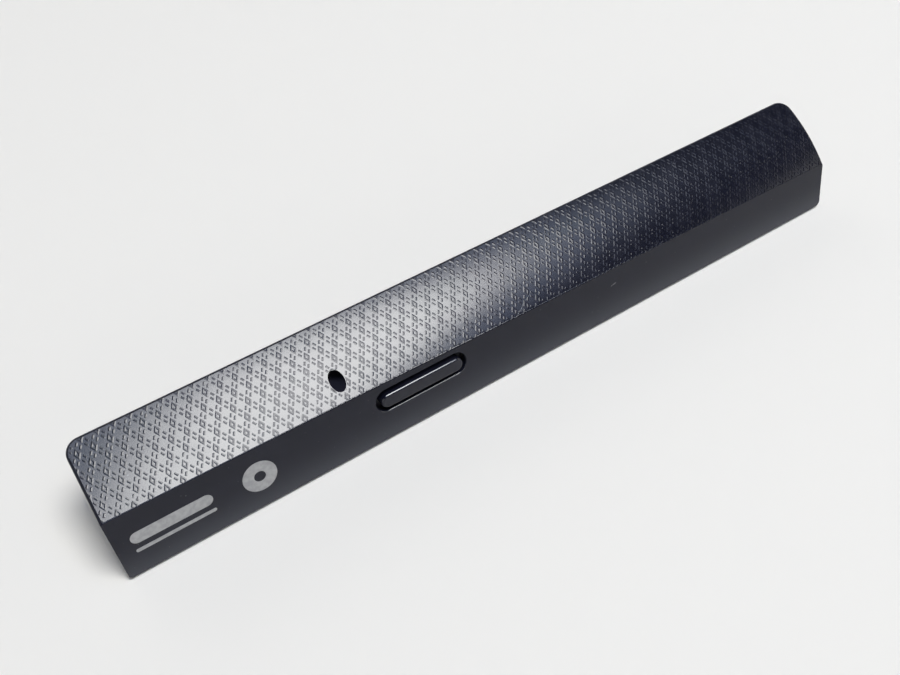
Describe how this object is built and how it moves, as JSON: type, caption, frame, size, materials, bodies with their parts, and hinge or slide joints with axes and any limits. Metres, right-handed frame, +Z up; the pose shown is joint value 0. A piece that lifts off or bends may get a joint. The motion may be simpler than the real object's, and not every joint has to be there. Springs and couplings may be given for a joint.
{
  "type": "optical drive bezel",
  "caption": "Thin moulded front cover of a slim optical drive, with a flat band, a sloping patterned face, a sprung eject button and an emergency eject hole.",
  "frame": {"origin": "on the table under the middle of the bezel, as it rests on the band's free edge and its hooks", "axes": "+X along the bezel to its crowned end, +Y to the back, +Z up; the band faces -Y"},
  "size_m": [0.13, 0.0146, 0.0145],
  "materials": {
    "shell_plastic": "black moulded plastic, fine matte grain on the band and a satin sheen on the patterned face",
    "button_plastic": "black moulded plastic, fine matte grain",
    "spring_plastic": "dark grey springy plastic, satin"
  },
  "bodies": {
    "root": {"bezel_shell": "shell_plastic", "button_spring": "spring_plastic"},
    "button": {"eject_button": "button_plastic"}
  },
  "joints": [
    {"name": "button_press", "type": "slide", "parent": "root", "child": "button", "axis": [0, 0.9605, -0.2784], "range_m": [0, 0.0007], "stiffness_N_per_m": 1500, "deforming": ["button_spring"]}
  ]
}
